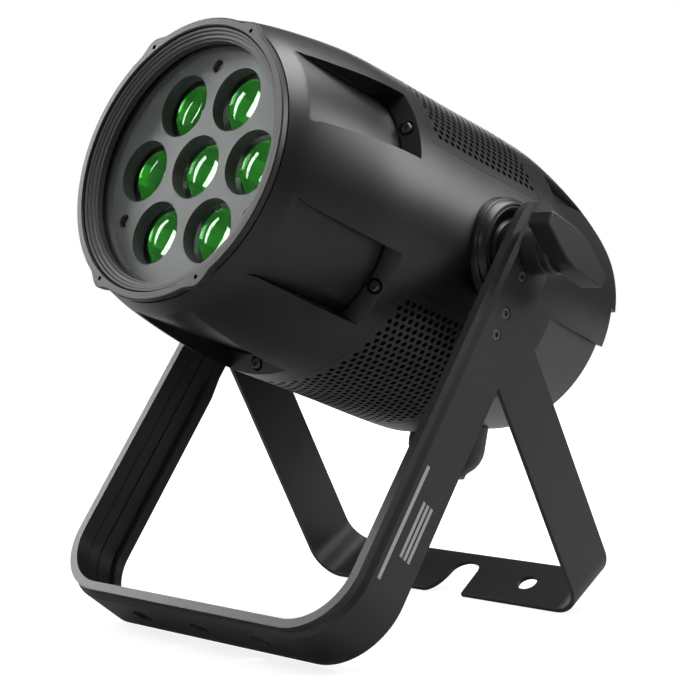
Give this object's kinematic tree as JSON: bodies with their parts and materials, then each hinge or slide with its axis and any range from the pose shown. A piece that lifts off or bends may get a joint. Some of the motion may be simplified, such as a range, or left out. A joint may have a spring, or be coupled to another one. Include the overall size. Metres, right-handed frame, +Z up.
{
  "type": "par can light",
  "caption": "Barrel-shaped stage wash light that tilts between the arms of a double yoke, with lens ports behind glass and T-shaped locking knobs.",
  "frame": {"origin": "centre of the bounding box on the floor that the yoke feet stand on", "axes": "+Z up; -Y towards where the light points as stored; +X to the right seen from in front of the back panel looking the way the light points; the tilt axis lies along X"},
  "size_m": [0.416, 0.4897, 0.4855],
  "materials": {
    "powder_coat_yoke": "satin black powder coat on cast aluminium",
    "powder_coat_steel": "satin black powder coat on steel strip",
    "powder_coat_shell": "satin black powder coat on die-cast aluminium",
    "black_plastic": "moulded black plastic",
    "black_rubber": "matt black rubber",
    "bright_steel": "turned steel",
    "black_steel": "black oxide steel",
    "bare_aluminium": "bare aluminium",
    "clear_glass": "clear tempered glass",
    "lens_glass": "clear moulded lens with a green coating",
    "circuit_board": "green circuit board"
  },
  "bodies": {
    "stand": {"front_yoke": "powder_coat_yoke", "rear_yoke": "powder_coat_steel", "arm_screw_right_1": "black_steel", "arm_screw_right_2": "black_steel", "arm_screw_right_3": "black_steel", "arm_screw_left_1": "black_steel", "arm_screw_left_2": "black_steel", "arm_screw_left_3": "black_steel", "friction_washer_right": "black_plastic", "friction_washer_left": "black_plastic"},
    "head": {"front_ring": "powder_coat_shell", "front_shell": "powder_coat_shell", "vent_panel_upper": "powder_coat_shell", "vent_panel_lower": "powder_coat_shell", "rear_shell": "powder_coat_shell", "rear_panel": "powder_coat_shell", "tilt_hub_right": "powder_coat_shell", "tilt_hub_left": "powder_coat_shell", "retaining_ring": "black_plastic", "lens_mask": "black_plastic", "fan_frame": "black_plastic", "vent_valve": "black_plastic", "belly_dome": "black_plastic", "glass_gasket": "black_rubber", "guide_rod_1": "bright_steel", "guide_rod_2": "bright_steel", "safety_eye": "bright_steel", "zoom_motor": "black_steel", "shell_screw_1": "black_steel", "shell_screw_2": "black_steel", "shell_screw_3": "black_steel", "shell_screw_4": "black_steel", "shell_screw_5": "black_steel", "shell_screw_6": "black_steel", "heat_sink": "bare_aluminium", "chassis": "bare_aluminium", "power_supply": "bare_aluminium", "front_glass": "clear_glass", "display_window": "clear_glass", "led_board": "circuit_board", "control_board": "circuit_board"},
    "knob_right": {"lock_knob_right": "black_plastic", "knob_stud_right": "bright_steel"},
    "knob_left": {"lock_knob_left": "black_plastic", "knob_stud_left": "bright_steel"},
    "lens_carrier": {"lens_plate": "black_plastic", "lens_array": "lens_glass"},
    "zoom_screw": {"lead_screw": "bright_steel"},
    "fan": {"fan_impeller": "black_plastic"},
    "menu_key": {"menu_button": "black_rubber"},
    "down_key": {"down_button": "black_rubber"},
    "up_key": {"up_button": "black_rubber"},
    "enter_key": {"enter_button": "black_rubber"},
    "power_in_cover": {"power_in_cap": "black_rubber"},
    "power_out_cover": {"power_out_cap": "black_rubber"},
    "data_in_cover": {"data_in_cap": "black_rubber"},
    "data_out_cover": {"data_out_cap": "black_rubber"}
  },
  "joints": [
    {"name": "head_tilt", "type": "hinge", "parent": "stand", "child": "head", "pos_m": [0, 0.0207, 0.306], "axis": [1, 0, 0], "range_deg": [-73, 107]},
    {"name": "knob_right_turn", "type": "hinge", "parent": "stand", "child": "knob_right", "pos_m": [0, 0.0207, 0.306], "axis": [1, 0, 0], "range_deg": [-20, 270]},
    {"name": "knob_left_turn", "type": "hinge", "parent": "stand", "child": "knob_left", "pos_m": [0, 0.0207, 0.306], "axis": [-1, 0, 0], "range_deg": [-20, 270]},
    {"name": "zoom", "type": "slide", "parent": "head", "child": "lens_carrier", "axis": [0, -0.9563, 0.2924], "range_m": [-0.028, 0.003]},
    {"name": "zoom_screw_spin", "type": "hinge", "parent": "head", "child": "zoom_screw", "pos_m": [0, -0.12239, 0.43654], "axis": [0, -0.9563, 0.2924], "range_deg": [-960, 240]},
    {"name": "fan_spin", "type": "hinge", "parent": "head", "child": "fan", "pos_m": [0, -0.01946, 0.31828], "axis": [0, -0.9563, 0.2924], "continuous": true},
    {"name": "menu_press", "type": "slide", "parent": "head", "child": "menu_key", "axis": [0, -0.9563, 0.2924], "range_m": [0, 0.0012], "stiffness_N_per_m": 800},
    {"name": "down_press", "type": "slide", "parent": "head", "child": "down_key", "axis": [0, -0.9563, 0.2924], "range_m": [0, 0.0012], "stiffness_N_per_m": 800},
    {"name": "up_press", "type": "slide", "parent": "head", "child": "up_key", "axis": [0, -0.9563, 0.2924], "range_m": [0, 0.0012], "stiffness_N_per_m": 800},
    {"name": "enter_press", "type": "slide", "parent": "head", "child": "enter_key", "axis": [0, -0.9563, 0.2924], "range_m": [0, 0.0012], "stiffness_N_per_m": 800},
    {"name": "power_in_turn", "type": "hinge", "parent": "head", "child": "power_in_cover", "pos_m": [-0.066, 0.19256, 0.20117], "axis": [0, -0.9563, 0.2924], "range_deg": [0, 90]},
    {"name": "power_out_turn", "type": "hinge", "parent": "head", "child": "power_out_cover", "pos_m": [-0.024, 0.18554, 0.17822], "axis": [0, -0.9563, 0.2924], "range_deg": [0, 90]},
    {"name": "data_in_turn", "type": "hinge", "parent": "head", "child": "data_in_cover", "pos_m": [0.024, 0.18554, 0.17822], "axis": [0, -0.9563, 0.2924], "range_deg": [0, 90]},
    {"name": "data_out_turn", "type": "hinge", "parent": "head", "child": "data_out_cover", "pos_m": [0.066, 0.19256, 0.20117], "axis": [0, -0.9563, 0.2924], "range_deg": [0, 90]}
  ],
  "couplings": [
    {"joint": "zoom_screw_spin", "follows": "zoom", "rad_per_m": 523.6}
  ]
}
